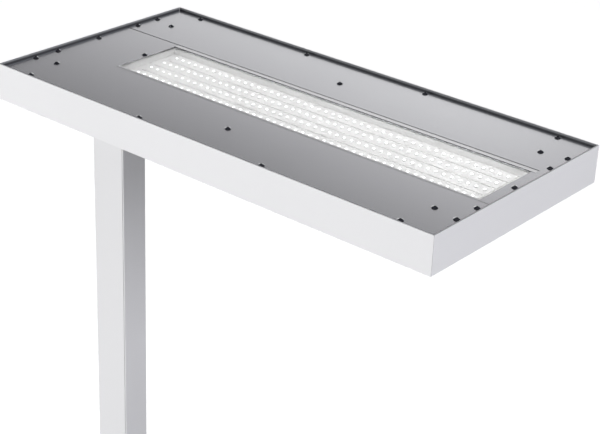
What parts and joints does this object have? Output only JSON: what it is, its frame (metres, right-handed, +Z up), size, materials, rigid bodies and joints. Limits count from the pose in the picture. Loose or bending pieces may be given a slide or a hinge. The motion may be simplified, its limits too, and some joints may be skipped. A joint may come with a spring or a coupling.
{
  "type": "office floor lamp",
  "caption": "Free-standing office floor lamp: flat rectangular LED head held near one end by a slim mast on a steel base plate, lit upwards and downwards, with push-buttons on the mast.",
  "frame": {"origin": "on the floor, under the mast's axis", "axes": "+Z up along the mast, +X along the head towards its free end, +Y towards the far long side, away from the push-buttons"},
  "size_m": [0.706, 0.32, 1.95],
  "materials": {
    "frame_coat": "satin silver-white powder coat on extruded aluminium",
    "mast_coat": "satin silver-white powder coat on extruded aluminium",
    "cover_sheet": "fine brushed and anodised sheet",
    "bead_metal": "natural anodised strip",
    "bright_steel": "bright stainless button-head and countersunk screws",
    "dark_steel": "black oxide steel screws",
    "clear_acrylic": "clear cast acrylic, polished",
    "tray_white": "white reflector enamel on folded aluminium",
    "board_white": "white solder mask on glass-epoxy board",
    "uplight_led": "clear silicone dome, lit",
    "downlight_led": "phosphor-coated LED, lit",
    "bare_aluminium": "mill finish",
    "chassis_zinc": "mill-finish sheet",
    "underplate_coat": "satin silver-white powder coat on steel",
    "driver_case": "white moulded case",
    "terminal_plastic": "natural polyamide",
    "cable_grey": "grey PVC sheath",
    "opal_acrylic": "opal acrylic with a fine prism texture",
    "control_abs": "moulded ABS, fine matt texture",
    "button_abs": "moulded ABS, fine matt texture",
    "switch_black": "black moulded switch",
    "control_board_green": "green solder mask on glass-epoxy board",
    "gland_nylon": "dark grey polyamide",
    "seal_rubber": "black elastomer",
    "base_coat": "satin silver-white powder coat on steel plate",
    "underlay_rubber": "thin black rubber sheet"
  },
  "bodies": {
    "lamp_body": {"near_frame_rail": "frame_coat", "far_frame_rail": "frame_coat", "mast_end_frame_rail": "frame_coat", "free_end_frame_rail": "frame_coat", "mast_profile": "mast_coat", "near_mast_cover": "mast_coat", "far_mast_cover": "mast_coat", "near_cover_plate": "cover_sheet", "far_cover_plate": "cover_sheet", "glazing_beads": "bead_metal", "cover_screws": "bright_steel", "chassis_screws": "bright_steel", "driver_screws": "bright_steel", "cross_bar_screws": "bright_steel", "underplate_screws": "bright_steel", "control_screws": "bright_steel", "tray_nut": "bright_steel", "neck_screws": "dark_steel", "mast_top_screws": "dark_steel", "mast_foot_screws": "dark_steel", "foot_screws": "dark_steel", "corner_grub_screws": "dark_steel", "window_pane": "clear_acrylic", "reflector_tray": "tray_white", "uplight_boards": "board_white", "downlight_boards": "board_white", "uplight_leds": "uplight_led", "downlight_leds": "downlight_led", "heat_sink": "bare_aluminium", "corner_brackets": "bare_aluminium", "cover_standoffs": "bare_aluminium", "neck_block": "bare_aluminium", "head_spigot": "bare_aluminium", "foot_spigot": "bare_aluminium", "diffuser_cross_bar": "bare_aluminium", "chassis_plate": "chassis_zinc", "head_underplate": "underplate_coat", "uplight_driver": "driver_case", "downlight_driver": "driver_case", "terminal_block": "terminal_plastic", "head_wiring": "cable_grey", "mast_harness": "cable_grey", "diffuser_panel": "opal_acrylic", "control_housing": "control_abs", "push_switches": "switch_black", "control_board": "control_board_green", "gland_body": "gland_nylon", "gland_cap": "gland_nylon", "gland_lock_nut": "gland_nylon", "gland_seal": "seal_rubber", "base_plate": "base_coat", "base_underlay": "underlay_rubber"},
    "uplight_push": {"uplight_button": "button_abs", "uplight_plunger": "switch_black"},
    "downlight_push": {"downlight_button": "button_abs", "downlight_plunger": "switch_black"}
  },
  "joints": [
    {"name": "uplight_press", "type": "slide", "parent": "lamp_body", "child": "uplight_push", "axis": [0, 1, 0], "range_m": [0, 0.0012], "stiffness_N_per_m": 300, "springref_m": -0.002},
    {"name": "downlight_press", "type": "slide", "parent": "lamp_body", "child": "downlight_push", "axis": [0, 1, 0], "range_m": [0, 0.0012], "stiffness_N_per_m": 300, "springref_m": -0.002}
  ]
}
